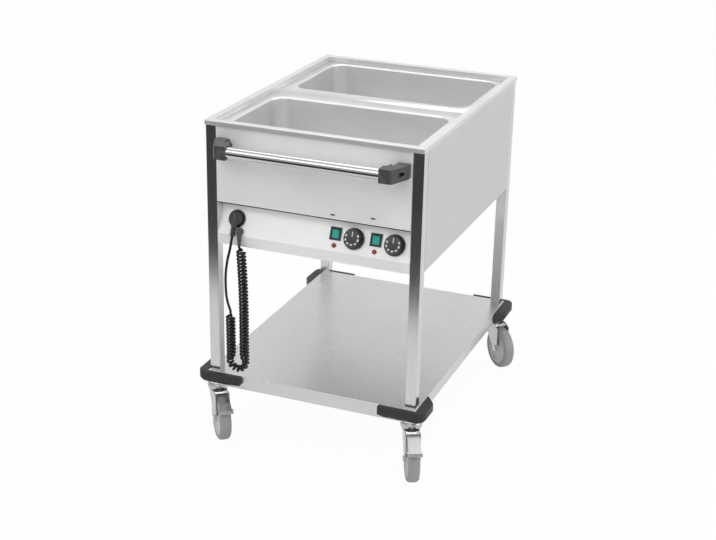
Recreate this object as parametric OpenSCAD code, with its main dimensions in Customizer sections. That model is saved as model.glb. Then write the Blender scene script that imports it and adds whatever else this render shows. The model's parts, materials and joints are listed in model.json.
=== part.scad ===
// Heated serving trolley with two gastronorm wells, a control panel and a lower shelf.
// Millimetres, +Z up, +X to the right of a person facing the front, and the front at -Y.
// The origin is on the floor under the middle of the outline over the casters.

/* [Cabinet] */
// Width over the corner posts
body_w = 596; // [592:1:660]
// Depth over the corner posts
body_d = 786; // [780:1:860]
// Height of the rim's top above the floor
top_h = 900; // [880:1:960]
// Thickness of the steel sheet
sheet = 1.5; // [1:0.1:2]
// Side of the square corner posts
post_size = 30; // [26:0.5:31]
// Wall of the corner posts
post_wall = 1.5; // [1:0.1:2.5]
// Width of the folded returns at the bottom of the panels
return_w = 15; // [8:1:22]

/* [Rim and deck] */
// How far the rim stands out past the posts at the sides
rim_out_x = 2; // [1.8:0.1:8]
// How far the rim stands out past the posts at the front and rear
rim_out_y = 5; // [2:0.5:10]
// Height of the rim's outer lip
rim_lip = 13; // [8:0.5:24]
// Width of the rim's flat top
rim_flat = 20; // [14:0.5:22]
// Drop from the rim's top to the deck
deck_drop = 16; // [10:0.5:24]
// Corner radius of the rim
rim_corner_r = 4; // [1:0.5:10]
// Width of the ledge that carries the wells
ledge_w = 4; // [3:0.1:4.5]
// Width of the beam under the joint between the wells
beam_w = 24; // [10:1:60]

/* [Wells] */
// Length of a well's opening, across the trolley
well_w = 508; // [480:1:510]
// Width of a well's opening, along the trolley
well_d = 308; // [290:1:310]
// Depth of a well below the deck
well_depth = 196; // [120:1:198]
// Corner radius of a well
well_corner_r = 40; // [25:1:70]
// Radius of the rolled edge around a well
roll_r = 5; // [2.5:0.5:5]
// Width of the bar between the two wells
bar_w = 110; // [104:1:111]

/* [Control panel] */
// Height of the control panel, with its lip
control_h = 115.5; // [110:0.5:130]
// Height of the control panel's upright lip
lip_h = 29; // [20:0.5:32]
// Clearance between the wells and the seam under the front panel
seam_clear = 4.5; // [2.5:0.5:12]
// How far the top of the sloping face lies behind its lip
slope_run = 38.5; // [25:0.5:45]
// Distance between the two groups of controls
group_pitch = 110.5; // [104:0.5:130]
// Place of the first lamp and switch to the right of the middle
lamp_x = 60.3; // [20:0.1:65]
// Distance from a lamp to its knob
knob_offset = 51.7; // [48:0.1:53]
// Height of the lamps up the slope from the fold
lamp_s = 15.4; // [10:0.1:18]
// Height of the switches up the slope from the fold
switch_s = 46; // [42:0.5:55]
// Height of the knobs up the slope from the fold
knob_s = 40; // [32:0.5:55]
// Place of the parking socket to the left of the middle
socket_x = 218.6; // [200:0.1:235]
// Height of the parking socket up the slope from the fold
socket_s = 43.8; // [42:0.1:50]
// Place of the cord gland to the left of the middle
gland_x = 203.5; // [195:0.5:204]
// Height of the cord gland up the slope from the fold
gland_s = 12.5; // [11:0.1:14]

/* [Controls] */
// Radius of a knob's skirt
knob_skirt_r = 28; // [20:0.5:28]
// Radius of a knob's front face
knob_face_r = 21.5; // [14:0.5:22]
// How far a knob stands out of the panel
knob_out = 20; // [15:0.5:28]
// Radius of a thermostat's spindle
spindle_r = 3; // [2.5:0.1:3.5]
// Radius of a thermostat's bush in the panel
bush_r = 5; // [4.5:0.1:7]
// Side of a thermostat's housing
thermostat_w = 36; // [28:1:40]
// Depth of a thermostat's housing
thermostat_depth = 25; // [18:1:34]
// Width of a switch's frame
switch_w = 31; // [29:0.5:34]
// Height of a switch's frame
switch_h = 34; // [32:0.5:40]
// How far a switch's frame stands out
switch_rim = 2.5; // [1.5:0.1:4]
// Width of a rocker
rocker_w = 18.4; // [14:0.1:20]
// Radius that a rocker turns in
rocker_r = 12; // [10:0.1:12.5]
// Rest angle of a rocker
rocker_tilt = 7; // [4:0.5:9]
// Radius of a pilot lamp's lens
lamp_r = 6; // [5:0.1:6.5]
// Outer radius of the parking socket's ring
socket_r = 23.5; // [22:0.1:24]
// Radius of the plug's round body
plug_r = 18; // [16:0.1:18.5]
// Radius of the gland's foot
gland_r = 9; // [8.5:0.1:10]

/* [Handle] */
// Length of the push tube between its brackets
handle_len = 412; // [320:1:416]
// Radius of the push tube
handle_r = 15; // [12:0.5:16]
// Wall of the push tube
handle_wall = 1.5; // [1:0.1:2]
// Reach of the handle in front of the panel
handle_reach = 73; // [65:1:90]
// Drop from the rim's top to the push tube's middle
handle_drop = 61; // [50:1:110]
// Height of a bracket
bracket_h = 36; // [33:0.5:44]
// Radius of a bracket screw's shank
screw_r = 2.5; // [2:0.1:3]

/* [Lower shelf] */
// Height of the shelf's top above the floor
shelf_h = 193; // [188:0.5:198]
// Height of the shelf's folded edge at the sides
shelf_edge = 31; // [25:0.5:34]
// Height of the shelf's folded edge at the front and rear
shelf_front = 38; // [32:0.5:38]
// How far the shelf stands out past the posts at the sides
shelf_out_x = 4; // [1:0.5:8]
// How far the shelf stands out past the posts at the front and rear
shelf_out_y = 9; // [2:0.5:12]
// Height of a corner bumper
bumper_h = 30; // [20:0.5:32]
// Thickness of a bumper at the sides of the shelf
bumper_side = 27; // [20:0.5:30]
// Thickness of a bumper at the front and rear of the shelf
bumper_front = 14; // [11:0.5:22]
// Radius of a bumper's corner
bumper_r = 26; // [20:0.5:34]
// Length of a bumper's leg along the front or rear edge
bumper_leg = 102; // [90:1:130]
// Length of a front bumper's leg along the side edge
bumper_side_leg = 96; // [80:1:120]
// Length of a rear bumper's leg along the side edge
bumper_rear_leg = 112; // [80:1:130]
// Length over which a bumper's side leg tapers at its end
bumper_taper = 34; // [10:1:50]

/* [Casters] */
// Diameter of a wheel
wheel_d = 125; // [120:1:127]
// Width of a tyre
tyre_w = 32; // [28:0.5:34]
// Radius of the wheel body inside the tyre
rim_r = 47.5; // [40:0.5:54]
// Distance from the swivel axis to the axle
trail = 42; // [38:0.5:44]
// Thickness of the fork's sheet
fork_wall = 2.5; // [2:0.1:3.5]
// Radius of the swivel head
head_r = 29; // [26:0.5:32]
// Radius of the axle
axle_r = 4; // [3:0.1:5]
// Radius of the king pin in the swivel head
king_r = 6; // [5:0.1:8]
// Radius of the caster's stem through the shelf
stem_r = 11; // [8:0.5:12]
// Radius of a brake pedal's pin
pedal_pin_r = 3; // [2:0.1:3.5]
// Width of a brake pedal's lip
pedal_w = 40; // [30:0.5:42]
// Distance from the swivel axis to the end of a brake pedal
pedal_reach = 108; // [106:0.5:116]

/* [Cord] */
// Diameter of the mains cord
cord_d = 7; // [6:0.1:7.2]
// Radius of the curls' middle line
curl_r = 10; // [8:0.1:10.2]
// Pitch of the curls where the cord hangs straight
curl_pitch = 9.8; // [9:0.1:13]
// Pitch of the curls round the bend at the bottom
bend_pitch = 9.6; // [9:0.1:12]
// How much less the curls reach inwards round the bend
bend_squash = 4; // [3.5:0.1:5]

/* [Hidden] */
// Clearance of a turning fit, of a seat and between moving pieces
fit = 0.05;
seat_gap = 0.1;
gap = 0.3;
$fn = 64;

half_w = body_w / 2;
half_d = body_d / 2;
front_y = -half_d;
rim_x = half_w + rim_out_x;
rim_y = half_d + rim_out_y;
rim_in_x = rim_x - rim_flat;
rim_in_y = rim_y - rim_flat;
deck_z = top_h - deck_drop;
ledge_z = deck_z - 2 * sheet;
panel_top = top_h - sheet;
panel_x = half_w - post_size;
panel_y = half_d - post_size;
well_y = (bar_w + well_d) / 2;
well_floor_z = deck_z - well_depth;
seam_h = well_floor_z - sheet - seam_clear;
belly_h = seam_h - control_h;
fold_h = belly_h + lip_h;

slope = atan(slope_run / (seam_h - fold_h));
slope_top_y = front_y + slope_run;
flange_y = slope_top_y + return_w;
cup_r = plug_r + 1.5;
cup_depth = 30;
switch_body_w = switch_w - 4;
switch_body_h = switch_h - 5;
lamp_body_r = lamp_r - 1;
gland_thread_r = gland_r - 1.5;

handle_x = handle_len / 2;
handle_h = top_h - handle_drop;
block_y = front_y - handle_reach;
handle_y = block_y + handle_r;
screw_x = handle_x + 46;
screw_seat_y = front_y - 11;

shelf_x = half_w + shelf_out_x;
shelf_y = half_d + shelf_out_y;
shelf_under = shelf_h - sheet;
post_cx = half_w - post_size / 2;
post_cy = half_d - post_size / 2;

axle_z = wheel_d / 2;
crown_z = wheel_d + 5;
crown_h = 6;
cup_z = crown_z + 24;
race_z = cup_z + gap;
race_h = 5;
pin_z = wheel_d + 7;
pin_y = 50;
leg_x = tyre_w / 2 + 1.5;
tyre_edge = 2.5;
caster_yaw = [26, 38.5, 45, -135];
corner_x = [1, -1, 1, -1];
corner_y = [-1, -1, 1, 1];

// The front casters' pedals reach out further than the rear casters' wheels, so the cabinet's
// middle lies behind the origin
front_reach = pedal_reach * cos(caster_yaw[0]) + pedal_w / 2 * sin(caster_yaw[0]);
wheel_reach = trail + wheel_d / 2 - tyre_edge + tyre_w / 2 - tyre_edge;
rear_reach = wheel_reach * sin(caster_yaw[2]);
cabinet_y = (front_reach - rear_reach) / 2;

// Route of the cord from the plug down to its curls: x, y and z of its middle line
lead_route = [
    [-218.6, -407.5, 597.36], [-218.8, -413, 584], [-220, -416.5, 569], [-223, -418.5, 553],
    [-226.5, -420, 537], [-229.5, -420, 520], [-232, -420, 502], [-233.5, -419.5, 484],
    [-234, -419, 466], [-234, -418, 448], [-233.5, -416.5, 430], [-232, -414, 414],
    [-230, -411.5, 401], [-228, -409, 391], [-227, -407, 384]
];
lead_sides = 10;

curl_y = -407;
curl_steps = 8;
curl_sides = 6;
curl_start = [-199.8, -405.4, 574.3];
curl_end = [-227, -407, 384];
curl_right_x = -187;
bend_r = 19.5;
flat_len = 16;
bend_z = 242;
curl_top_z = 564;
curl_lean = 7;
curl_lean_z = 360;
curl_left_z = 372;
curl_left_lean = -1;

// Shapes that repeat

// A block that is centred on Z between two heights
module block(x, y, z0, z1) {
    translate([-x, -y, z0])
        cube([2 * x, 2 * y, z1 - z0]);
}

// A ring of sheet between two rectangles, given by their half sizes
module frame_ring(x, y, in_x, in_y, z0, z1) {
    difference() {
        block(x, y, z0, z1);
        block(in_x, in_y, z0 - 1, z1 + 1);
    }
}

module round_rectangle(x, y, r) {
    square([2 * x, 2 * (y - r)], center = true);
    square([2 * (x - r), 2 * y], center = true);
    for (sx = [-1, 1]) {
        for (sy = [-1, 1])
            translate([sx * (x - r), sy * (y - r)])
                circle(r);
    }
}

// A solid with an outline of y and z, drawn from x0 to x1
module along_x(x0, x1, outline) {
    translate([x0, 0, 0])
        rotate([90, 0, 90])
            linear_extrude(x1 - x0)
                polygon(outline);
}

// A solid with an outline of x and z, drawn from y0 to y1
module along_y(y0, y1, outline) {
    translate([0, y1, 0])
        rotate([90, 0, 0])
            linear_extrude(y1 - y0)
                polygon(outline);
}

// A cylinder along Y from y0 to y1
module rod_y(y0, y1, r) {
    translate([0, y0, 0])
        rotate([-90, 0, 0])
            cylinder(h = y1 - y0, r = r);
}

// A cylinder along X from x0 to x1
module rod_x(x0, x1, r) {
    translate([x0, 0, 0])
        rotate([0, 90, 0])
            cylinder(h = x1 - x0, r = r);
}

// Places things on the sloping face: y is zero on its outer side and grows inwards,
// z points up the slope
module on_panel(x, s) {
    translate([x, front_y + s * sin(slope), fold_h + s * cos(slope)])
        rotate([-slope, 0, 0])
            children();
}

// Places what is drawn about the cabinet's middle
module placed() {
    translate([0, cabinet_y, 0])
        children();
}

module on_corner(i) {
    translate([corner_x[i] * post_cx, corner_y[i] * post_cy, 0])
        children();
}

module on_caster(i) {
    on_corner(i)
        rotate([0, 0, caster_yaw[i]])
            children();
}

// Cabinet

module post(i) {
    inner = post_size / 2 - post_wall;
    notch_x = rim_in_x + sheet + gap;
    notch_y = rim_in_y + sheet + gap;
    color("silver")
        difference() {
            on_corner(i)
                difference() {
                    block(post_size / 2, post_size / 2, shelf_h, panel_top);
                    block(inner, inner, shelf_h - 1, panel_top + 1);
                }
            block(notch_x, notch_y, ledge_z - gap, panel_top + 1);
        }
}

module top_rim() {
    color("gainsboro") {
        translate([0, 0, panel_top])
            linear_extrude(sheet)
                difference() {
                    round_rectangle(rim_x, rim_y, rim_corner_r);
                    square([2 * rim_in_x, 2 * rim_in_y], center = true);
                }
        translate([0, 0, top_h - rim_lip])
            linear_extrude(rim_lip - sheet)
                difference() {
                    round_rectangle(rim_x, rim_y, rim_corner_r);
                    square([2 * (rim_x - sheet), 2 * (rim_y - sheet)], center = true);
                }
        frame_ring(rim_in_x + sheet, rim_in_y + sheet, rim_in_x, rim_in_y, ledge_z, panel_top);
        frame_ring(
            rim_in_x + sheet, rim_in_y + sheet, rim_in_x - ledge_w, rim_in_y - ledge_w,
            ledge_z, ledge_z + sheet
        );
        block(rim_in_x, beam_w / 2, ledge_z, ledge_z + sheet);
    }
}

// The rolled edge: a bead of round section around the opening
module rolled_edge(x, y, r) {
    for (sx = [-1, 1]) {
        translate([sx * x, 0, 0])
            rod_y(-(y - r), y - r, roll_r);
        translate([0, sx * y, 0])
            rod_x(-(x - r), x - r, roll_r);
        for (sy = [-1, 1])
            translate([sx * (x - r), sy * (y - r), 0])
                rotate([0, 0, sx > 0 ? (sy > 0 ? 0 : 270) : (sy > 0 ? 90 : 180)])
                    rotate_extrude(angle = 90)
                        translate([r, 0])
                            circle(roll_r);
    }
}

module well(side) {
    x = well_w / 2;
    y = well_d / 2;
    flange_x = rim_in_x - gap;
    flange_in = well_y - gap / 2;
    flange_out = rim_in_y - gap - well_y;
    color("lightgray")
        translate([0, side * well_y, 0])
            difference() {
                union() {
                    difference() {
                        translate([-flange_x, side > 0 ? -flange_in : -flange_out, deck_z - sheet])
                            cube([2 * flange_x, flange_in + flange_out, sheet]);
                        translate([0, 0, deck_z - 3 * sheet])
                            linear_extrude(6 * sheet)
                                round_rectangle(x + roll_r, y + roll_r, well_corner_r + roll_r);
                    }
                    translate([0, 0, deck_z - roll_r])
                        rolled_edge(x + roll_r, y + roll_r, well_corner_r + roll_r);
                    translate([0, 0, well_floor_z - sheet])
                        linear_extrude(well_depth + sheet - roll_r)
                            round_rectangle(x + sheet, y + sheet, well_corner_r + sheet);
                }
                translate([0, 0, well_floor_z])
                    linear_extrude(well_depth + 1)
                        round_rectangle(x, y, well_corner_r);
            }
}

module front_panel() {
    outline = [
        [front_y, panel_top], [front_y, seam_h], [flange_y, seam_h],
        [flange_y, seam_h + sheet], [front_y + sheet, seam_h + sheet],
        [front_y + sheet, panel_top]
    ];
    slot_w = 12;
    slot_h = 4;
    slots = [[lamp_x - 2.3, seam_h + 12], [lamp_x + group_pitch - 3.3, seam_h + 18]];
    color("gainsboro")
        difference() {
            along_x(-panel_x, panel_x, outline);
            for (slot = slots)
                translate([slot.x - slot_w / 2, front_y - 1, slot.y - slot_h / 2])
                    cube([slot_w, sheet + 2, slot_h]);
            for (side = [-1, 1])
                translate([side * screw_x, 0, handle_h])
                    rod_y(front_y - 1, front_y + sheet + 1, screw_r + seat_gap);
        }
}

module control_panel() {
    inner_top_y = front_y + sheet / cos(slope) + (seam_h - sheet - fold_h) * tan(slope);
    outline = [
        [flange_y, seam_h], [slope_top_y, seam_h], [front_y, fold_h], [front_y, belly_h],
        [front_y + return_w, belly_h], [front_y + return_w, belly_h + sheet],
        [front_y + sheet, belly_h + sheet],
        [front_y + sheet, fold_h - sheet * tan(slope / 2)],
        [inner_top_y, seam_h - sheet], [flange_y, seam_h - sheet]
    ];
    color("whitesmoke")
        difference() {
            along_x(-panel_x, panel_x, outline);
            for (i = [0, 1]) {
                on_panel(lamp_x + i * group_pitch, lamp_s)
                    rod_y(-1, sheet + 1, lamp_body_r + seat_gap);
                on_panel(lamp_x + i * group_pitch + knob_offset, knob_s)
                    rod_y(-1, sheet + 1, bush_r + seat_gap);
                on_panel(lamp_x + i * group_pitch, switch_s)
                    translate([-switch_body_w / 2 - seat_gap, -1, -switch_body_h / 2 - seat_gap])
                        cube([switch_body_w + 2 * seat_gap, sheet + 2, switch_body_h + 2 * seat_gap]);
            }
            on_panel(-socket_x, socket_s)
                rod_y(-1, sheet + 1, cup_r + seat_gap);
            on_panel(-gland_x, gland_s)
                rod_y(-1, sheet + 1, gland_thread_r + seat_gap);
        }
}

module side_panel(side) {
    outline = [
        [half_w, panel_top], [half_w, belly_h], [half_w - return_w, belly_h],
        [half_w - return_w, belly_h + sheet], [half_w - sheet, belly_h + sheet],
        [half_w - sheet, panel_top]
    ];
    color("gainsboro")
        mirror([side > 0 ? 0 : 1, 0, 0])
            along_y(-panel_y, panel_y, outline);
}

module rear_panel() {
    outline = [
        [half_d, panel_top], [half_d, belly_h], [half_d - return_w, belly_h],
        [half_d - return_w, belly_h + sheet], [half_d - sheet, belly_h + sheet],
        [half_d - sheet, panel_top]
    ];
    color("gainsboro")
        along_x(-panel_x, panel_x, outline);
}

module bottom_panel() {
    z = belly_h + sheet;
    color("silver") {
        block(half_w - sheet, panel_y, z, z + sheet);
        block(panel_x, half_d - sheet, z, z + sheet);
    }
}

// Lower shelf and bumpers

module lower_shelf() {
    z = shelf_h - shelf_edge;
    front_z = shelf_h - shelf_front;
    color("gainsboro")
        difference() {
            union() {
                block(shelf_x, shelf_y, z, shelf_h);
                block(shelf_x - sheet, shelf_y, front_z, z + 1);
            }
            block(shelf_x - sheet, shelf_y - sheet, z + sheet, shelf_under);
            block(shelf_x - return_w, shelf_y - sheet, front_z + sheet, shelf_under);
            block(shelf_x, shelf_y - return_w, front_z - 1, z);
            block(shelf_x - return_w, shelf_y - return_w, front_z - 1, shelf_under);
            for (i = [0:3])
                on_corner(i) {
                    translate([0, 0, front_z - 1])
                        cylinder(h = shelf_front + 2, r = stem_r + seat_gap);
                    translate([0, 0, front_z - 1])
                        cylinder(h = shelf_front - 2 * sheet, r = head_r);
                }
        }
}

// One bumper, drawn at the corner where x and y are both positive
module bumper_shape(side_leg, cut_len, cut_h, marks) {
    z0 = shelf_h - bumper_h;
    bevel = 6;
    bevel_h = 8;
    top_bevel = 2;
    out_x = shelf_x + bumper_side;
    out_y = shelf_y + bumper_front;
    mark_w = 10;
    mark_h = 5;
    difference() {
        union() {
            along_x(shelf_x - bumper_leg, out_x - bumper_r, [
                [shelf_y, z0], [out_y - bevel, z0], [out_y, z0 + bevel_h],
                [out_y, shelf_h - top_bevel], [out_y - top_bevel, shelf_h], [shelf_y, shelf_h]
            ]);
            along_y(shelf_y - side_leg, out_y - bumper_r, [
                [shelf_x, z0], [out_x - bevel, z0], [out_x, z0 + bevel_h],
                [out_x, shelf_h - top_bevel], [out_x - top_bevel, shelf_h], [shelf_x, shelf_h]
            ]);
            translate([out_x - bumper_r, out_y - bumper_r, 0])
                rotate_extrude()
                    polygon([
                        [0, z0], [bumper_r - bevel, z0], [bumper_r, z0 + bevel_h],
                        [bumper_r, shelf_h - top_bevel], [bumper_r - top_bevel, shelf_h],
                        [0, shelf_h]
                    ]);
        }
        block(shelf_x, shelf_y, z0 - 1, shelf_h + 1);
        along_y(shelf_y - 1, out_y + 1, [
            [shelf_x - bumper_leg - 1, z0 - 1], [shelf_x - bumper_leg + cut_len, z0 - 1],
            [shelf_x - bumper_leg + cut_len, z0], [shelf_x - bumper_leg, z0 + cut_h],
            [shelf_x - bumper_leg - 1, z0 + cut_h]
        ]);
        translate([0, 0, z0 - 1])
            linear_extrude(bumper_h + 2)
                polygon([
                    [out_x + 1, shelf_y - side_leg - 1],
                    [out_x + 1, shelf_y - side_leg + bumper_taper],
                    [out_x, shelf_y - side_leg + bumper_taper],
                    [shelf_x + 3, shelf_y - side_leg],
                    [shelf_x + 3, shelf_y - side_leg - 1]
                ]);
        for (mark = marks)
            translate([shelf_x - mark - mark_w / 2, out_y - 5, z0 + 2])
                cube([mark_w, 6, mark_h]);
    }
}

module bumper(i) {
    front = i < 2;
    marks = i == 0 ? [44, 78] : [27, 57];
    cut_len = i == 0 ? 15 : 45;
    color("dimgray")
        mirror([corner_x[i] > 0 ? 0 : 1, 0, 0])
            mirror([0, corner_y[i] > 0 ? 0 : 1, 0])
                bumper_shape(
                    front ? bumper_side_leg : bumper_rear_leg, cut_len, 6, front ? marks : []
                );
}

// Handle

module handle_tube() {
    color("silver")
        translate([0, handle_y, handle_h])
            difference() {
                rod_x(-handle_x, handle_x, handle_r);
                rod_x(-handle_x - 1, handle_x + 1, handle_r - handle_wall);
            }
}

module handle_bracket(side) {
    spigot_len = 25;
    pocket_r = 5.5;
    foot_x = handle_x + 57;
    notch_x = handle_x + 15;
    notch_w = 10;
    notch_h = 18;
    notch_depth = 30;
    bracket_top = handle_h + bracket_h / 2;
    outline = [
        [handle_x, block_y], [handle_x + 30, block_y], [handle_x + 35, block_y + 4],
        [foot_x, front_y - 17], [foot_x, front_y], [handle_x + 16, front_y],
        [handle_x + 20, front_y - 7], [handle_x + 8, block_y + 34], [handle_x, block_y + 32]
    ];
    color("dimgray")
        mirror([side > 0 ? 0 : 1, 0, 0])
            difference() {
                union() {
                    translate([0, 0, handle_h - bracket_h / 2])
                        linear_extrude(bracket_h)
                            polygon(outline);
                    translate([0, handle_y, handle_h])
                        rod_x(handle_x - spigot_len, handle_x + 1, handle_r - handle_wall - seat_gap);
                }
                translate([screw_x, 0, handle_h]) {
                    rod_y(block_y - 1, screw_seat_y, pocket_r);
                    rod_y(screw_seat_y - 1, front_y + 1, screw_r + seat_gap);
                }
                along_y(front_y - notch_depth, front_y + 1, [
                    [notch_x, bracket_top - notch_h], [notch_x + notch_w, bracket_top + 1],
                    [notch_x, bracket_top + 1]
                ]);
            }
}

module handle_screws() {
    color("lightgray")
        for (side = [-1, 1])
            translate([side * screw_x, 0, handle_h])
                difference() {
                    union() {
                        rod_y(screw_seat_y - 3, screw_seat_y, 4.5);
                        rod_y(screw_seat_y - 1, front_y + sheet + 5, screw_r);
                    }
                    for (turn = [0, 90])
                        rotate([0, turn, 0])
                            translate([-2.5, screw_seat_y - 4, -0.5])
                                cube([5, 2.5, 1]);
                }
}

// Things on the control panel

module parking_socket() {
    color("black")
        on_panel(-socket_x, socket_s)
            difference() {
                union() {
                    rod_y(-5, 0, socket_r);
                    rod_y(-1, cup_depth, cup_r);
                }
                rod_y(-6, cup_depth - 2, plug_r + gap);
            }
}

module power_plug() {
    head_y = -16;
    spout_len = 48;
    color("dimgray")
        on_panel(-socket_x, socket_s) {
            rod_y(-12, 14, plug_r);
            rod_y(head_y, -11, plug_r - 2);
            for (x = [-9.5, 9.5])
                translate([x, 0, 0])
                    rod_y(13, 24, 2.4);
            translate([0, head_y + 2, 0]) {
                sphere(8);
                translate([0, 0, 8])
                    sphere(8);
                cylinder(h = 8, r = 8);
                translate([0, 0, -32])
                    cylinder(h = 32, r1 = 7.4, r2 = 8);
                translate([0, 0, -spout_len])
                    cylinder(h = 12, r1 = 6.2, r2 = 7);
            }
        }
}

module cord_gland() {
    boot_r = 6.9;
    ball_r = 7.4;
    neck_r = cord_d / 2 + 0.7;
    end_r = cord_d / 2 + 1.1;
    end_len = 4;
    boot_end = curl_start + [0, 0, end_len];
    elbow_out = 10;
    foot_y = front_y + gland_s * sin(slope);
    foot_z = fold_h + gland_s * cos(slope);
    elbow = [-gland_x, foot_y - elbow_out * cos(slope), foot_z + elbow_out * sin(slope)];
    run = boot_end - elbow;
    boot_len = norm(run);
    color("gray") {
        on_panel(-gland_x, gland_s) {
            rod_y(-4, 0, gland_r);
            rod_y(-elbow_out, -3, boot_r + 0.1);
            rod_y(-1, 14, gland_thread_r);
            rod_y(sheet, sheet + 5, gland_r + 1);
        }
        translate(elbow) {
            sphere(ball_r);
            rotate([0, acos(run.z / boot_len), atan2(run.y, run.x)])
                cylinder(h = boot_len, r1 = boot_r, r2 = neck_r);
        }
        translate(curl_start)
            cylinder(h = end_len + 0.5, r = end_r);
    }
}

module switch_frame(i) {
    cavity_h = rocker_r + gap;
    cavity_w = rocker_w / 2 + gap;
    cavity_depth = rocker_r + 4;
    pin_r = 1.5;
    color("black")
        on_panel(lamp_x + i * group_pitch, switch_s)
            difference() {
                union() {
                    translate([-switch_w / 2, -switch_rim, -switch_h / 2])
                        cube([switch_w, switch_rim, switch_h]);
                    translate([-switch_body_w / 2, -1, -switch_body_h / 2])
                        cube([switch_body_w, 26, switch_body_h]);
                }
                translate([-cavity_w, -switch_rim - 1, -cavity_h])
                    cube([2 * cavity_w, cavity_depth + switch_rim + 1, 2 * cavity_h]);
                translate([0, 2, 0])
                    rod_x(-cavity_w - 1.5, cavity_w + 1.5, pin_r + fit);
            }
}

module rocker(i) {
    pin_r = 1.5;
    nose = rocker_r - 1.5;
    color("teal")
        on_panel(lamp_x + i * group_pitch, switch_s)
            translate([0, 2, 0])
                rotate([rocker_tilt, 0, 0]) {
                    intersection() {
                        rod_x(-rocker_w / 2, rocker_w / 2, rocker_r);
                        along_x(-rocker_w, rocker_w, [
                            [-5.5, nose], [-3.8, 0], [-5.5, -nose], [-4, -rocker_r - 1],
                            [8, -rocker_r - 1], [8, rocker_r + 1], [-4, rocker_r + 1]
                        ]);
                    }
                    rod_x(-rocker_w / 2 - 1.3, rocker_w / 2 + 1.3, pin_r);
                }
}

module pilot_lamps() {
    color("orangered")
        for (i = [0, 1])
            on_panel(lamp_x + i * group_pitch, lamp_s) {
                rod_y(-2.5, 0, lamp_r);
                rod_y(-4, -1, lamp_r - 1.5);
                rod_y(-1, 14, lamp_body_r);
            }
}

module knob(i) {
    back = 1;
    skirt_h = 5;
    knob_h = knob_out - back - skirt_h;
    color("black")
        on_panel(lamp_x + i * group_pitch + knob_offset, knob_s)
            difference() {
                union() {
                    rod_y(-back - skirt_h, -back, knob_skirt_r);
                    translate([0, -back - skirt_h, 0])
                        rotate([90, 0, 0])
                            cylinder(h = knob_h, r1 = knob_face_r + 4.5, r2 = knob_face_r);
                }
                rod_y(-knob_out + 6, 0, spindle_r + fit);
                rod_y(-back - 2, 0, bush_r + 2);
            }
}

module thermostat_spindle(i) {
    color("silver")
        on_panel(lamp_x + i * group_pitch + knob_offset, knob_s)
            rod_y(-knob_out + 6 + gap, sheet + 8, spindle_r);
}

module thermostats() {
    color("tan")
        for (i = [0, 1])
            on_panel(lamp_x + i * group_pitch + knob_offset, knob_s)
                difference() {
                    union() {
                        translate([-thermostat_w / 2, sheet, -thermostat_w / 2])
                            cube([thermostat_w, thermostat_depth, thermostat_w]);
                        rod_y(-2, sheet + 1, bush_r);
                    }
                    rod_y(-3, sheet + 10, spindle_r + fit);
                }
}

module heating_elements() {
    tube_r = 4;
    run_x = 180;
    spacing = 60;
    rows = 4;
    z = well_floor_z - sheet - gap - tube_r;
    color("dimgray")
        for (side = [-1, 1])
            translate([0, side * well_y, z]) {
                for (row = [0 : rows - 1])
                    translate([0, (row - (rows - 1) / 2) * spacing, 0])
                        rod_x(-run_x, run_x, tube_r);
                for (row = [0 : rows - 2])
                    translate([
                        row % 2 == 0 ? run_x : -run_x,
                        (row - (rows - 2) / 2) * spacing, 0
                    ])
                        rotate([0, 0, row % 2 == 0 ? -90 : 90])
                            rotate_extrude(angle = 180)
                                translate([spacing / 2, 0])
                                    circle(tube_r);
            }
}

// Casters: drawn with the swivel axis on Z and the wheel trailing towards -Y

module caster_stem(i) {
    plug = post_size / 2 - post_wall - seat_gap;
    nut_z = crown_z - gap - 7;
    color("silver")
        on_caster(i) {
            translate([0, 0, race_z])
                cylinder(h = race_h, r = head_r - 4);
            translate([0, 0, race_z + race_h - 0.5])
                cylinder(h = shelf_under - race_z - race_h + 0.5, r = head_r - 11);
            translate([0, 0, shelf_under - 1])
                cylinder(h = sheet + 2, r = stem_r);
            rotate([0, 0, -caster_yaw[i]])
                block(plug, plug, shelf_h, shelf_h + 45);
            translate([0, 0, nut_z + 1])
                cylinder(h = race_z - nut_z, r = king_r);
            translate([0, 0, nut_z])
                cylinder(h = 7, r = king_r + 4, $fn = 6);
        }
}

// A point that trails the swivel axis by y and lies z above the floor
function behind(y, z) = [-y, z];

module fork_leg(x0, x1, braked) {
    front = braked ? 58 : trail + 11;
    top = pin_z + 6;
    along_x(x0, x1, [
        behind(-18, crown_z + crown_h), behind(-21, crown_z - 4), behind(-17, crown_z - 26),
        behind(trail - 10, axle_z - 5), behind(trail + 10, axle_z - 4),
        behind(front, axle_z + 34), behind(front, pin_z - 4),
        behind(braked ? 55 : 30, braked ? top : crown_z + crown_h),
        behind(braked ? 45 : 27, braked ? top : crown_z + crown_h),
        behind(20, crown_z + crown_h)
    ]);
}

module caster_fork(i) {
    braked = i < 2;
    color("lightgray")
        on_caster(i) {
            difference() {
                union() {
                    rotate_extrude()
                        polygon([
                            [0, crown_z], [head_r - 4, crown_z], [head_r - 4, crown_z + crown_h],
                            [head_r - 1, crown_z + crown_h + 2], [head_r, crown_z + crown_h + 5],
                            [head_r, cup_z - 5], [head_r - 3, cup_z], [0, cup_z]
                        ]);
                    for (side = [0, 1])
                        mirror([side, 0, 0]) {
                            fork_leg(leg_x, leg_x + fork_wall, braked);
                            translate([leg_x, -trail, axle_z])
                                rotate([0, 90, 0])
                                    cylinder(h = fork_wall, r = 11);
                        }
                    if (braked)
                        translate([0, -pin_y, pin_z])
                            rod_x(-leg_x - fork_wall - 1, leg_x + fork_wall + 1, pedal_pin_r);
                }
                translate([0, 0, crown_z - 1])
                    cylinder(h = cup_z - crown_z + 2, r = king_r + fit);
                translate([0, -trail, axle_z])
                    rod_x(-leg_x - fork_wall - 1, leg_x + fork_wall + 1, axle_r + fit);
            }
        }
}

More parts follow.
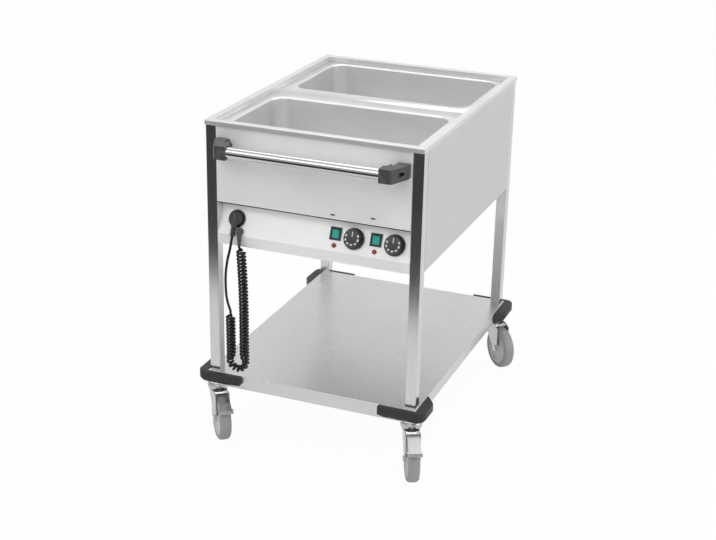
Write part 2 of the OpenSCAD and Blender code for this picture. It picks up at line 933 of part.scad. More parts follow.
module tyre(i) {
    half = tyre_w / 2;
    r = wheel_d / 2;
    color("gray")
        on_caster(i)
            translate([0, -trail, axle_z])
                rotate([0, 90, 0])
                    rotate_extrude($fn = 96)
                        polygon([
                            [rim_r + fit, -half + 1], [r - 6, -half],
                            [r - tyre_edge, -half + tyre_edge],
                            [r - 0.6, -half + 6], [r, -half + 10], [r, half - 10],
                            [r - 0.6, half - 6], [r - tyre_edge, half - tyre_edge], [r - 6, half],
                            [rim_r + fit, half - 1]
                        ]);
}

module wheel_hub(i) {
    half = tyre_w / 2;
    color("darkgray")
        on_caster(i)
            translate([0, -trail, axle_z])
                rotate([0, 90, 0])
                    difference() {
                        rotate_extrude($fn = 96)
                            polygon([
                                [0, -leg_x + gap], [12, -leg_x + gap], [12, -half + 5],
                                [rim_r - 6, -half + 5], [rim_r - 4, -half + 1], [rim_r, -half + 1],
                                [rim_r, half - 1], [rim_r - 4, half - 1], [rim_r - 6, half - 5],
                                [12, half - 5], [12, leg_x - gap], [0, leg_x - gap]
                            ]);
                        translate([0, 0, -tyre_w])
                            cylinder(h = 2 * tyre_w, r = axle_r + fit);
                    }
}

module axle(i) {
    reach = leg_x + fork_wall;
    color("silver")
        on_caster(i)
            translate([0, -trail, axle_z]) {
                rod_x(-reach - 1, reach + 1, axle_r);
                rod_x(-reach - 4, -reach, axle_r + 3.5);
                rod_x(reach, reach + 4, axle_r + 3.5, $fn = 6);
            }
}

module brake_pedal(i) {
    half_plate = leg_x - 1;
    half_shoe = 10;
    plate = 2.5;
    edge_h = 5;
    lip = behind(pedal_reach, pin_z - 25);
    color("silver")
        on_caster(i)
            difference() {
                union() {
                    translate([0, -pin_y, pin_z])
                        rod_x(-half_plate, half_plate, pedal_pin_r + 2.5);
                    along_x(-half_plate, half_plate, [
                        behind(pin_y, pin_z + 5.5), behind(64, pin_z + 1),
                        lip + [7, 5.5], lip + [8.4, 3.4],
                        behind(63, pin_z - 1.7), behind(pin_y, pin_z + 2)
                    ]);
                    along_x(-pedal_w / 2, pedal_w / 2, [
                        lip + [8, 6], lip + [3, 3.5], lip, lip - [0, edge_h],
                        lip + [plate, -edge_h], lip + [plate, -0.5], lip + [4.4, 1.3],
                        lip + [9.2, 3.7]
                    ]);
                    along_x(-half_shoe, half_shoe, [
                        behind(57, pin_z), behind(66, pin_z - 3), behind(68, pin_z - 7.5),
                        behind(58, pin_z - 4.5)
                    ]);
                }
                translate([0, -pin_y, pin_z])
                    rod_x(-leg_x, leg_x, pedal_pin_r + fit);
            }
}

// Cord

// The ring of points of a tube's section at point p, square to direction d
function ring(p, d, r, sides, up) =
    let (
        t = d / norm(d),
        side_raw = cross(up, t),
        side = side_raw / norm(side_raw),
        lift = cross(t, side)
    )
    [for (k = [0 : sides - 1]) p + r * (cos(360 * k / sides) * side + sin(360 * k / sides) * lift)];

function direction(points, i) =
    i == 0 ? points[1] - points[0]
    : i == len(points) - 1 ? points[i] - points[i - 1]
    : (points[i + 1] - points[i]) / norm(points[i + 1] - points[i])
        + (points[i] - points[i - 1]) / norm(points[i] - points[i - 1]);

// One closed tube through the points, with flat ends
module tube(points, directions, r, sides, up) {
    count = len(points);
    rings = [for (i = [0 : count - 1]) each ring(points[i], directions[i], r, sides, up)];
    walls = [
        for (i = [0 : count - 2])
            for (k = [0 : sides - 1])
                let (
                    a = i * sides + k,
                    b = i * sides + (k + 1) % sides
                )
                each [[a, b, b + sides], [a, b + sides, a + sides]]
    ];
    last = (count - 1) * sides;
    start_cap = [for (k = [1 : sides - 2]) [0, k + 1, k]];
    end_cap = [for (k = [1 : sides - 2]) [last, last + k, last + k + 1]];
    polyhedron(points = rings, faces = concat(start_cap, end_cap, walls));
}

module cord_lead() {
    last = len(lead_route) - 1;
    directions = [
        for (i = [0 : last])
            i == 0 ? [0, -sin(slope), -cos(slope)]
            : i == last ? [0, 0, -1]
            : direction(lead_route, i)
    ];
    color("black")
        tube(lead_route, directions, cord_d / 2, lead_sides, [0, 1, 0.001]);
}

// The curls follow a middle line that hangs down, turns round a bend and climbs again
right_len = curl_top_z - bend_z;
bend_len = PI * bend_r;
left_len = curl_left_z - bend_z;
curl_len = right_len + bend_len + left_len;

// The curls lie flatter round the bend and in the last stretch before it
function flat(u) =
    min(1, max(0, (u - right_len + flat_len) / flat_len))
    * min(1, max(0, (right_len + bend_len + flat_len - u) / flat_len));

function lean(z) = curl_lean * pow(max(0, (z - curl_lean_z) / (curl_top_z - curl_lean_z)), 2);

function middle(u) =
    u < right_len ? [curl_right_x - lean(curl_top_z - u), curl_top_z - u]
    : u < right_len + bend_len
        ? let (a = 180 * (u - right_len) / bend_len)
          [curl_right_x - bend_r + bend_r * cos(a), bend_z - bend_r * sin(a)]
    : let (w = (u - right_len - bend_len) / left_len)
      [curl_right_x - 2 * bend_r + curl_left_lean * w * w, bend_z + w * left_len];

function turns(u) =
    min(u, right_len) / curl_pitch
    + min(max(u - right_len, 0), bend_len) / bend_pitch
    + max(u - right_len - bend_len, 0) / curl_pitch;

// The inverse of turns: how far along the middle line a number of turns reaches
right_turns = turns(right_len);
bend_turns = turns(right_len + bend_len) - right_turns;
function reach(t) =
    t < right_turns ? t * curl_pitch
    : t < right_turns + bend_turns ? right_len + (t - right_turns) * bend_pitch
    : right_len + bend_len + (t - right_turns - bend_turns) * curl_pitch;

function side_of(u) =
    let (d = middle(min(u + 0.5, curl_len)) - middle(max(u - 0.5, 0)), n = d / norm(d))
    [-n.y, 0, n.x];

all_turns = turns(curl_len);
function swell(t) = curl_r * min(1, t / 0.6, (all_turns - t) / 0.6);

function curl_point(t) =
    let (u = reach(t), m = middle(u), r = swell(t), s = side_of(u), f = bend_squash * flat(u))
    [m.x, curl_y, m.y] + ((r - f) * cos(360 * t) + f) * s + [0, r * sin(360 * t), 0];

curl_count = floor(all_turns * curl_steps);
curl_points = concat(
    [curl_start, curl_start - [0, 0, cord_d]],
    [for (i = [1 : curl_count - 1]) curl_point(i / curl_steps)],
    [curl_end - [0, 0, cord_d], curl_end]
);

// Least gap between the curls, measured between points that are more than half a curl apart
curl_gap = min([
    for (i = [0 : len(curl_points) - 6])
        for (j = [i + 5 : len(curl_points) - 1])
            norm(curl_points[i] - curl_points[j]) - cord_d
]);
echo(curls = all_turns, least_gap_between_curls = curl_gap);

module cord_curls() {
    last = len(curl_points) - 1;
    directions = [
        for (i = [0 : last])
            i == 0 ? [0, 0, -1]
            : i == last ? [0, 0, 1]
            : direction(curl_points, i)
    ];
    color("black")
        tube(curl_points, directions, cord_d / 2, curl_sides, [0.02, 0.9, 0.03]);
}

// Drawing

side_names = ["left", "right"];
corner_names = ["front_right", "front_left", "rear_right", "rear_left"];

for (i = [0:3]) {
    placed() post(i);
    placed() bumper(i);
    placed() caster_stem(i);
    placed() caster_fork(i);
    placed() tyre(i);
    placed() wheel_hub(i);
    placed() axle(i);
}
for (i = [0, 1]) {
    placed() switch_frame(i);
    placed() rocker(i);
    placed() knob(i);
    placed() thermostat_spindle(i);
}
placed() top_rim();
placed() well(-1);  // well_front
placed() well(1);  // well_rear
placed() front_panel();
placed() control_panel();
placed() side_panel(1);  // side_panel_right
placed() side_panel(-1);  // side_panel_left
placed() rear_panel();
placed() bottom_panel();
placed() lower_shelf();
placed() handle_tube();
placed() handle_bracket(1);  // handle_bracket_right
placed() handle_bracket(-1);  // handle_bracket_left
placed() handle_screws();
placed() parking_socket();
placed() power_plug();
placed() cord_gland();
placed() cord_lead();
placed() cord_curls();
placed() pilot_lamps();
placed() thermostats();
placed() heating_elements();
placed() brake_pedal(0);  // brake_pedal_right
placed() brake_pedal(1);  // brake_pedal_left
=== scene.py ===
import json
import math

import bmesh
import bpy
from mathutils import Matrix, Vector

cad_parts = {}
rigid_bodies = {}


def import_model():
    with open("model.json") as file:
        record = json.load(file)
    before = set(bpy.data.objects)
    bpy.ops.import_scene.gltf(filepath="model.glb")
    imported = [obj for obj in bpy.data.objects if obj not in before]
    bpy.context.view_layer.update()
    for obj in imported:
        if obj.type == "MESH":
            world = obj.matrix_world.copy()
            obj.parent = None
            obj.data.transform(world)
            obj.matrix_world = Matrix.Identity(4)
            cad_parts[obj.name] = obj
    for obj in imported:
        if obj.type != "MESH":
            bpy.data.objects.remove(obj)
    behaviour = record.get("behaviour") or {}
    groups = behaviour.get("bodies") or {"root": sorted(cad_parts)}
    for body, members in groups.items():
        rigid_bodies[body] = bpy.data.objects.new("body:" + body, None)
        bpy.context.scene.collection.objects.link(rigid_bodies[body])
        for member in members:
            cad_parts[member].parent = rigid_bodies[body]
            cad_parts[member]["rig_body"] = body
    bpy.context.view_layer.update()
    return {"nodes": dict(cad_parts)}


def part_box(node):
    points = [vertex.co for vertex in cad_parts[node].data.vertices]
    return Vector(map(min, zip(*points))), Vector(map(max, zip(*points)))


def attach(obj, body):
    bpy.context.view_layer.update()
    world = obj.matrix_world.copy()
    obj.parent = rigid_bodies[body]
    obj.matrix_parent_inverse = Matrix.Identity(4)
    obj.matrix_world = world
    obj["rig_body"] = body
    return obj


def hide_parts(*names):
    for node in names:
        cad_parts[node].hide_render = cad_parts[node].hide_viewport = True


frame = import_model()
nodes = frame["nodes"]
scene = bpy.context.scene
scene.view_settings.view_transform = "Standard"

# Sizes below are in millimetres, and a piece is scaled to metres when it is kept.
millimetre = 0.001
corners = ("front_right", "front_left", "rear_right", "rear_left")
slope = {"foldHeight": 595.5, "seamHeight": 682, "run": 38.5, "frontY": -393}
slopeAngle = math.atan(slope["run"] / (slope["seamHeight"] - slope["foldHeight"]))
# Pieces are drawn about the cabinet's middle, which lies a little behind the origin.
rimLow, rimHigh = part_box("top_rim")
cabinetY = (rimLow[1] + rimHigh[1]) / 2 / millimetre
placed = Matrix.Translation((0, cabinetY, 0))


def onPanel(x, s):
    # y points into the cabinet and z up the sloping face
    y = slope["frontY"] + s * math.sin(slopeAngle)
    z = slope["foldHeight"] + s * math.cos(slopeAngle)
    return Matrix.Translation((x, y, z)) @ Matrix.Rotation(-slopeAngle, 4, "X")


# Camera

view = {
    "azimuth": 21.574,
    "elevation": 21.874,
    "roll": 1.188,
    "place": (1.3694, -3.5273, 1.90935),
    "lens": 71.855,
}


def makeCamera(values):
    a, e, r = (math.radians(values[key]) for key in ("azimuth", "elevation", "roll"))
    back = Vector((math.sin(a) * math.cos(e), -math.cos(a) * math.cos(e), math.sin(e)))
    right = Vector((math.cos(a), math.sin(a), 0))
    up = back.cross(right)
    turnedRight = math.cos(r) * right + math.sin(r) * up
    turnedUp = math.cos(r) * up - math.sin(r) * right
    data = bpy.data.cameras.new("camera")
    data.sensor_width = 36
    data.lens = values["lens"]
    data.clip_start, data.clip_end = 0.05, 100
    camera = bpy.data.objects.new("camera", data)
    turn = Matrix((turnedRight, turnedUp, back)).transposed().to_4x4()
    x, y, z = values["place"]
    camera.matrix_world = Matrix.Translation((x, y + cabinetY * millimetre, z)) @ turn
    scene.collection.objects.link(camera)
    scene.camera = camera


makeCamera(view)
print("camera placed")


# Materials

def startMaterial(name, colour, roughness, metallic=0.0):
    material = bpy.data.materials.new(name)
    material.use_nodes = True
    shader = material.node_tree.nodes["Principled BSDF"]
    shader.inputs["Base Color"].default_value = (*colour, 1)
    shader.inputs["Roughness"].default_value = roughness
    shader.inputs["Metallic"].default_value = metallic
    return material, material.node_tree, shader


def addNoise(tree, scale, detail=3.0, squash=(1, 1, 1), distortion=0.0):
    coords = tree.nodes.new("ShaderNodeTexCoord")
    mapping = tree.nodes.new("ShaderNodeMapping")
    mapping.inputs["Scale"].default_value = squash
    noise = tree.nodes.new("ShaderNodeTexNoise")
    noise.inputs["Scale"].default_value = scale
    noise.inputs["Detail"].default_value = detail
    noise.inputs["Distortion"].default_value = distortion
    tree.links.new(coords.outputs["Object"], mapping.inputs["Vector"])
    tree.links.new(mapping.outputs["Vector"], noise.inputs["Vector"])
    return noise.outputs["Fac"]


def spread(tree, value, low, high):
    # stretches a noise value to a range, with its middle in the middle
    node = tree.nodes.new("ShaderNodeMapRange")
    node.inputs["From Min"].default_value = 0.3
    node.inputs["From Max"].default_value = 0.7
    node.inputs["To Min"].default_value = low
    node.inputs["To Max"].default_value = high
    tree.links.new(value, node.inputs["Value"])
    return node.outputs["Result"]


def multiply(tree, first, second):
    node = tree.nodes.new("ShaderNodeMath")
    node.operation = "MULTIPLY"
    tree.links.new(first, node.inputs[0])
    tree.links.new(second, node.inputs[1])
    return node.outputs["Value"]


def tint(tree, shader, value, colour):
    # the base colour times a value that is near one
    node = tree.nodes.new("ShaderNodeVectorMath")
    node.operation = "SCALE"
    node.inputs[0].default_value = colour
    tree.links.new(value, node.inputs["Scale"])
    tree.links.new(node.outputs["Vector"], shader.inputs["Base Color"])


def bump(tree, shader, value, depth, strength=1.0):
    node = tree.nodes.new("ShaderNodeBump")
    node.inputs["Distance"].default_value = depth
    node.inputs["Strength"].default_value = strength
    tree.links.new(value, node.inputs["Height"])
    tree.links.new(node.outputs["Normal"], shader.inputs["Normal"])


brushing = {
    "fineScale": 1400,
    "fineSquash": 0.012,
    "broadScale": 150,
    "broadSquash": 0.06,
    "broadShare": 0.6,
    "cloudScale": 7,
    "depth": 0.00004,
}


def brushedSteel(name, grey, roughness, along, contrast=0.05, grain=0.5, metallic=1.0):
    # fine lines along one axis, broad faint streaks and soft clouds from handling
    colour = (grey, grey, grey * 1.004)
    material, tree, shader = startMaterial(name, colour, roughness, metallic)

    def lines(size, detail):
        stretch = [1, 1, 1]
        stretch["XYZ".index(along)] = brushing[size + "Squash"]
        return addNoise(tree, brushing[size + "Scale"], detail, stretch)

    fine, broad = lines("fine", 2.0), lines("broad", 3.0)
    cloud = addNoise(tree, brushing["cloudScale"], 2.0)
    faint = contrast * brushing["broadShare"]
    streaks = multiply(tree, spread(tree, fine, 1 - contrast, 1 + contrast),
                       spread(tree, broad, 1 - faint, 1 + faint))
    tint(tree, shader, multiply(tree, streaks, spread(tree, cloud, 0.975, 1.025)), colour)
    rough = multiply(tree, spread(tree, fine, roughness * 0.85, roughness * 1.15),
                     spread(tree, cloud, 0.9, 1.1))
    tree.links.new(rough, shader.inputs["Roughness"])
    bump(tree, shader, fine, brushing["depth"], grain)
    return material


def platedSteel(name, grey, roughness, mottle=0.06):
    # zinc or chrome: soft cloudy patches and small pits
    colour = (grey, grey * 1.003, grey * 1.012)
    material, tree, shader = startMaterial(name, colour, roughness, 1.0)
    cloud = addNoise(tree, 60, 4.0, distortion=0.6)
    pits = addNoise(tree, 900, 2.0)
    tint(tree, shader, spread(tree, cloud, 1 - mottle, 1 + mottle * 0.5), colour)
    tree.links.new(spread(tree, cloud, roughness * 0.8, roughness * 1.3), shader.inputs["Roughness"])
    bump(tree, shader, pits, 0.00003, 0.4)
    return material


def mouldedPlastic(name, colour, roughness, grain=0.6, grainSize=1500, depth=0.00006):
    # a fine moulded texture, with handled patches that shine a little more
    material, tree, shader = startMaterial(name, colour, roughness)
    speckle = addNoise(tree, grainSize, 2.0)
    patch = addNoise(tree, 25, 3.0)
    shades = multiply(tree, spread(tree, patch, 0.9, 1.1), spread(tree, speckle, 0.93, 1.07))
    tint(tree, shader, shades, colour)
    tree.links.new(spread(tree, patch, roughness * 0.85, roughness * 1.15), shader.inputs["Roughness"])
    bump(tree, shader, speckle, depth, grain)
    return material


def clearLens(name, colour, glow, roughness):
    # coloured plastic with a glossy skin that lets a little light through
    material, tree, shader = startMaterial(name, colour, roughness)
    shader.inputs["Coat Weight"].default_value = 0.15
    shader.inputs["Specular IOR Level"].default_value = 0.3
    shader.inputs["Coat Roughness"].default_value = 0.08
    shader.inputs["Emission Color"].default_value = (*colour, 1)
    shader.inputs["Emission Strength"].default_value = glow
    ripple = addNoise(tree, 400, 2.0)
    tint(tree, shader, spread(tree, ripple, 0.85, 1.15), colour)
    bump(tree, shader, ripple, 0.0001, 0.3)
    return material


recipes = {
    brushedSteel: {   # grey, roughness, direction of the lines, contrast, grain, metallic
        # painted light: the cabinet is one stainless steel. Grain direction and roughness are its real
        # finish, but grey and metallic share are set per part to how each is lit: the front, control and
        # rim faces are brighter, partly diffuse copies, the posts and sides darker copies
        "postSteel": (0.74, 0.17, "Z", 0.05),
        "panelSteel": (0.94, 0.46, "X", 0.02, 0.5, 0.35),
        "controlSteel": (0.94, 0.42, "X", 0.015, 0.5, 0.3),
        "sideSteel": (0.7, 0.42, "Y", 0.025, 0.5, 0.85),
        "rimSteel": (0.78, 0.4, "X", 0.02, 0.5, 0.65),
        "deckSteel": (0.82, 0.36, "X", 0.02, 0.5, 0.85),
        "shelfSteel": (0.76, 0.3, "Y", 0.02),
        "innerSteel": (0.6, 0.45, "Y", 0.04),
        "tubeSteel": (0.66, 0.1, "X", 0.02, 0.2),
    },
    platedSteel: {   # grey, roughness, mottle
        "zincPlate": (0.62, 0.24, 0.09),
        "pedalPlate": (0.46, 0.3, 0.12),
        "chromePlate": (0.84, 0.1, 0.03),
        "screwSteel": (0.7, 0.25),
        "heaterSheath": (0.2, 0.5, 0.2),
    },
    mouldedPlastic: {   # colour, roughness, grain, grain size, depth
        "bumperPlastic": ((0.02, 0.021, 0.023), 0.5),
        "bracketPlastic": ((0.06, 0.061, 0.063), 0.3),
        "switchPlastic": ((0.028, 0.032, 0.033), 0.4),
        "knobPlastic": ((0.009, 0.009, 0.01), 0.3),
        "knobFacePlastic": ((0.05, 0.051, 0.053), 0.42),
        "socketPlastic": ((0.008, 0.008, 0.009), 0.3),
        "plugRubber": ((0.06, 0.06, 0.062), 0.5),
        "glandRubber": ((0.085, 0.085, 0.088), 0.5),
        "cordJacket": ((0.008, 0.008, 0.009), 0.3, 0.5, 2500),
        "tyreRubber": ((0.33, 0.33, 0.333), 0.55, 0.7, 700, 0.0001),
        "hubPlastic": ((0.6, 0.605, 0.61), 0.4),
        # painted shade: a near-black finish for the strip under the front panel's fold and the dark band on
        # the caster stems
        "sealRubber": ((0.03, 0.03, 0.031), 0.5),
        "lampBezel": ((0.16, 0.035, 0.012), 0.25),
        "thermostatCase": ((0.5, 0.47, 0.4), 0.5),
        "dialPrint": ((0.86, 0.86, 0.84), 0.5, 0.3),
    },
    clearLens: {   # colour, glow, roughness
        "rockerLens": ((0.018, 0.3, 0.24), 0.25, 0.25),
        # painted shade: a darker, dimmer copy of the rocker lens for its shaded faces
        "rockerPaintedShade": ((0.01, 0.07, 0.065), 0.1, 0.25),
        "lampLens": ((0.3, 0.04, 0.01), 0.2, 0.2),
    },
}
finishes = {name: make(name, *values) for make, group in recipes.items() for name, values in group.items()}
print("materials made:", len(finishes))


# Keeping a piece, or dressing a CAD node with rounded edges

def finishMesh(bm, name, body, finish, standsFor, smoothAngle):
    mesh = bpy.data.meshes.new(name)
    bm.to_mesh(mesh)
    bm.free()
    mesh.polygons.foreach_set("use_smooth", [True] * len(mesh.polygons))
    mesh.set_sharp_from_angle(angle=math.radians(smoothAngle))
    for one in finish if isinstance(finish, (list, tuple)) else [finish]:
        mesh.materials.append(finishes[one])
    piece = bpy.data.objects.new(name, mesh)
    scene.collection.objects.link(piece)
    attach(piece, body)
    if standsFor:
        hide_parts(*standsFor)
    return piece


def keepPiece(bm, name, body, finish, standsFor=(), place=Matrix(), smoothAngle=32):
    bmesh.ops.transform(bm, matrix=Matrix.Scale(millimetre, 4) @ placed @ place, verts=bm.verts)
    return finishMesh(bm, name, body, finish, standsFor, smoothAngle)


def sharpEdges(bm, degrees=38):
    limit = math.radians(degrees)
    return [e for e in bm.edges if len(e.link_faces) == 2 and e.calc_face_angle(0) > limit]


def bevelEdges(bm, edges, width, segments):
    bmesh.ops.bevel(bm, geom=edges, offset=width, offset_type="OFFSET", segments=segments, profile=0.5,
                    affect="EDGES", clamp_overlap=True, material=-1)


def fromMiddle(spot):
    # a place in millimetres from the cabinet's middle
    return spot / millimetre - Vector((0, cabinetY, 0))


def dressNode(node, finish, bevels, smoothAngle=32, other=None, sharpFrom=38):
    bm = bmesh.new()
    bm.from_mesh(nodes[node].data)
    bmesh.ops.remove_doubles(bm, verts=bm.verts, dist=0.00002)
    # flats are whole again instead of triangles, because a sliver would hold every bevel back
    bmesh.ops.dissolve_limit(bm, angle_limit=math.radians(0.5), verts=bm.verts, edges=bm.edges)
    for width, segments, chosen in bevels:
        edges = [e for e in sharpEdges(bm, sharpFrom)
                 if chosen is None or chosen(fromMiddle((e.verts[0].co + e.verts[1].co) / 2))]
        bevelEdges(bm, edges, width * millimetre, segments)
    bmesh.ops.dissolve_degenerate(bm, dist=0.00003, edges=bm.edges)
    if other:
        otherFinish, chosenFace = other
        finish = [finish, otherFinish]
        for face in bm.faces:
            face.material_index = int(chosenFace(face, fromMiddle(face.calc_center_median())))
    body = nodes[node]["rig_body"]
    piece = finishMesh(bm, node + "_dressed", body, finish, [node], smoothAngle)
    flats = piece.modifiers.new("flats", "WEIGHTED_NORMAL")   # keeps the flats flat beside their bevels
    flats.keep_sharp = True
    flats.weight = 80


def paintNode(node, finish):
    for materialSlot in nodes[node].material_slots:
        materialSlot.material = finishes[finish]


# The mains cord: one length from the gland, down its curls and up to the plug

cord = {
    "diameter": 7,
    "curlRadius": 10,
    "curlY": -407,
    "curlStart": (-199.8, -405.4, 574.3),
    "curlEnd": (-227, -407, 384),
    "rightX": -187,
    "bendRadius": 19.5,
    "flatLength": 16,
    "squash": 4,
    "bendHeight": 242,
    "topHeight": 564,
    "lean": 7,
    "leanHeight": 360,
    "leftHeight": 372,
    "leftLean": -1,
    "pitch": 9.8,
    "bendPitch": 9.6,
    "pointsPerCurl": 20,
    "turnsToOpen": 0.6,
    "leadSteps": 5,
    "endPull": 6,
}
leadRoute = [
    (-218.6, -407.5, 597.4), (-218.8, -413, 584), (-220, -416.5, 569), (-223, -418.5, 553),
    (-226.5, -420, 537), (-229.5, -420, 520), (-232, -420, 502), (-233.5, -419.5, 484),
    (-234, -419, 466), (-234, -418, 448), (-233.5, -416.5, 430), (-232, -414, 414),
    (-230, -411.5, 401), (-228, -409, 391), (-227, -407, 384),
]


def smoothRoute(points, steps, endPull):
    # a curve through the points, with its ends square to what they meet
    points = [Vector(p) for p in points]
    ends = [points[0] * 2 - points[1], *points, points[-1] + Vector((0, 0, -endPull))]
    made = []
    for i in range(1, len(ends) - 2):
        a, b, c, d = ends[i - 1:i + 3]
        for k in range(steps):
            t = k / steps
            made.append(0.5 * (2 * b + (c - a) * t + (2 * a - 5 * b + 4 * c - d) * t * t
                               + (3 * b - a - 3 * c + d) * t ** 3))
    return made + [points[-1]]


def curlRoute(values):
    rightLength = values["topHeight"] - values["bendHeight"]
    bendLength = math.pi * values["bendRadius"]
    leftLength = values["leftHeight"] - values["bendHeight"]
    total = rightLength + bendLength + leftLength
    rightTurns = rightLength / values["pitch"]
    bendTurns = bendLength / values["bendPitch"]
    allTurns = rightTurns + bendTurns + leftLength / values["pitch"]

    def middle(u):
        if u < rightLength:
            z = values["topHeight"] - u
            part = max(0, (z - values["leanHeight"]) / (values["topHeight"] - values["leanHeight"]))
            return Vector((values["rightX"] - values["lean"] * part ** 2, z))
        if u < rightLength + bendLength:
            a = math.pi * (u - rightLength) / bendLength
            r = values["bendRadius"]
            x = values["rightX"] - r + r * math.cos(a)
            return Vector((x, values["bendHeight"] - r * math.sin(a)))
        w = (u - rightLength - bendLength) / leftLength
        x = values["rightX"] - 2 * values["bendRadius"] + values["leftLean"] * w * w
        return Vector((x, values["bendHeight"] + w * leftLength))

    def reach(turn):
        if turn < rightTurns:
            return turn * values["pitch"]
        if turn < rightTurns + bendTurns:
            return rightLength + (turn - rightTurns) * values["bendPitch"]
        return rightLength + bendLength + (turn - rightTurns - bendTurns) * values["pitch"]

    def flatness(u):   # the curls lie flatter round the bend
        before = (u - rightLength) / values["flatLength"] + 1
        after = (rightLength + bendLength - u) / values["flatLength"] + 1
        return min(1, max(0, before)) * min(1, max(0, after))

    steps, opening = values["pointsPerCurl"], values["turnsToOpen"]
    start, end = Vector(values["curlStart"]), Vector(values["curlEnd"])
    stub = Vector((0, 0, values["diameter"]))
    points = [start, start - stub]
    eighth = steps // 8
    for i in range(eighth, math.floor(allTurns * 8) * steps // 8 - eighth + 1):
        turn = i / steps
        u = reach(turn)
        m = middle(u)
        along = (middle(min(u + 0.5, total)) - middle(max(u - 0.5, 0))).normalized()
        radius = values["curlRadius"] * min(1, turn / opening, (allTurns - turn) / opening)
        a = 2 * math.pi * turn
        inward = values["squash"] * flatness(u)
        out = (radius - inward) * math.cos(a) + inward
        y = values["curlY"] + radius * math.sin(a)
        points.append(Vector((m.x - out * along.y, y, m.y + out * along.x)))
    return points + [end - stub]


def makeCord(values):
    points = curlRoute(values) + smoothRoute(leadRoute, values["leadSteps"], values["endPull"])[::-1]
    data = bpy.data.curves.new("mains_cord", "CURVE")
    data.dimensions = "3D"
    data.bevel_depth = values["diameter"] / 2 * millimetre
    data.bevel_resolution = 3
    data.use_fill_caps = True
    line = data.splines.new("POLY")
    line.points.add(len(points) - 1)
    for spot, point in zip(line.points, points):
        spot.co = (*(placed @ point * millimetre), 1)
    data.materials.append(finishes["cordJacket"])
    piece = bpy.data.objects.new("mains_cord", data)
    scene.collection.objects.link(piece)
    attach(piece, "frame")
    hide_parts("cord_lead", "cord_curls")
    length = sum((b - a).length for a, b in zip(points, points[1:])) * millimetre
    print("cord length", round(length, 3))
    return piece, length


mainsCord, cordLength = makeCord(cord)


# Turned shapes, blocks, and joining one mesh into another

def spinProfile(profile, steps=64, axis="Y"):
    # a profile of (radius, distance along the axis), turned a full circle
    bm = bmesh.new()
    place = {"Y": lambda r, y: (r, y, 0), "Z": lambda r, z: (r, 0, z), "X": lambda r, x: (x, 0, r)}[axis]
    line = [bm.verts.new(place(max(r, 0.0), d)) for r, d in profile]
    edges = [bm.edges.new(pair) for pair in zip(line, line[1:])]
    direction = {"X": (1, 0, 0), "Y": (0, 1, 0), "Z": (0, 0, 1)}[axis]
    bmesh.ops.spin(bm, geom=line + edges, cent=(0, 0, 0), axis=direction, angle=2 * math.pi,
                   steps=steps, use_merge=True)
    bmesh.ops.remove_doubles(bm, verts=bm.verts, dist=0.0005)
    bmesh.ops.recalc_face_normals(bm, faces=bm.faces)
    return bm


def joinInto(bm, other, place=Matrix(), material=None):
    # adds another mesh, moved to its place, and frees it
    bmesh.ops.transform(other, matrix=place, verts=other.verts)
    if material is not None:
        for face in other.faces:
            face.material_index = material
    mesh = bpy.data.meshes.new("part")
    other.to_mesh(mesh)
    other.free()
    bm.from_mesh(mesh)
    bpy.data.meshes.remove(mesh)
    return bm


def rounded(bm, width, segments=3):
    bevelEdges(bm, sharpEdges(bm), width, segments)
    return bm


def makeBlock(x0, x1, y0, y1, z0, z1):
    bm = bmesh.new()
    size = Matrix.Diagonal((x1 - x0, y1 - y0, z1 - z0, 1))
    middle = Matrix.Translation(((x0 + x1) / 2, (y0 + y1) / 2, (z0 + z1) / 2))
    bmesh.ops.create_cube(bm, size=1, matrix=middle @ size)
    return bm


# Cabinet: posts, rim and panels

cabinet = {
    "postRadius": 2.2,
    "foldRadius": 2.4,
    "sheetEdge": 0.55,
    "rimFold": 2.6,
    "rimInnerFold": 1.4,
    "crispFold": 0.6,
    "crispAngle": 23.5,
    "postX": (298, 268),
    "postY": (393, 363),
    "rimX": 300,
    "rimY": 398,
    "rimHeight": 900,
    "rimArc": 4.5,
    "footHeight": 566.5,
    "near": 0.5,
}
seam = {"halfLength": 266, "inset": 0.5, "depth": 5, "height": 2.3, "overlap": 0.2, "edge": 0.5}
slots = {
    "places": ((58, 12), (167.5, 18)),
    "halfWidth": 8,
    "below": 5,
    "above": 6,
    "inset": 0.7,
    "depth": 2.8,
    "edge": 0.4,
}


